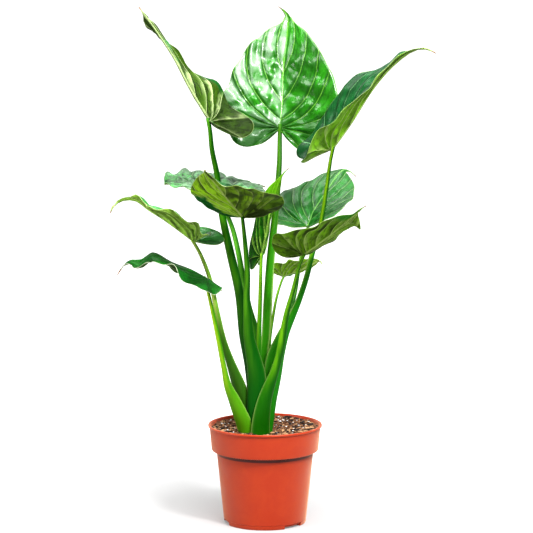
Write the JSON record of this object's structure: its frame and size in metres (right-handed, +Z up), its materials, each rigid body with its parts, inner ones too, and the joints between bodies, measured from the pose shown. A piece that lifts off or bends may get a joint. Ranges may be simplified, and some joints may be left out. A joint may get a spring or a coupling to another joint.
{
  "type": "potted chinese taro plant",
  "caption": "Leafy aroid house plant with heart-shaped blades on long sheathing stalks, rooted in soil in a round plastic nursery pot with a collar rim.",
  "frame": {"origin": "centre of the pot's underside, on the surface that the pot stands on", "axes": "+Z up along the pot's axis and the plant's height, -Y towards the plant's front, +X to the right seen from the front"},
  "size_m": [0.5346, 0.4423, 0.8602],
  "materials": {
    "pot": "matte",
    "soil": "rough bark and peat granules",
    "crown": "smooth, waxy",
    "blade": "glossy, quilted between the veins",
    "young_blade": "satin",
    "petiole": "smooth, waxy"
  },
  "bodies": {
    "root": {"pot": "pot", "soil": "soil", "crown": "crown", "blade_mid_right_front": "blade", "blade_low_left": "blade", "blade_mid_left_front": "blade", "blade_top_right": "blade", "blade_side_left": "blade", "blade_top_left": "blade", "blade_top_centre": "blade", "blade_mid_right_back": "blade", "blade_mid_left_back": "blade", "blade_low_right": "blade", "blade_young": "young_blade", "petiole_mid_right_front": "petiole", "petiole_low_left": "petiole", "petiole_mid_left_front": "petiole", "petiole_top_right": "petiole", "petiole_side_left": "petiole", "petiole_top_left": "petiole", "petiole_top_centre": "petiole", "petiole_mid_right_back": "petiole", "petiole_mid_left_back": "petiole", "petiole_low_right": "petiole", "petiole_young": "petiole"}
  },
  "joints": []
}
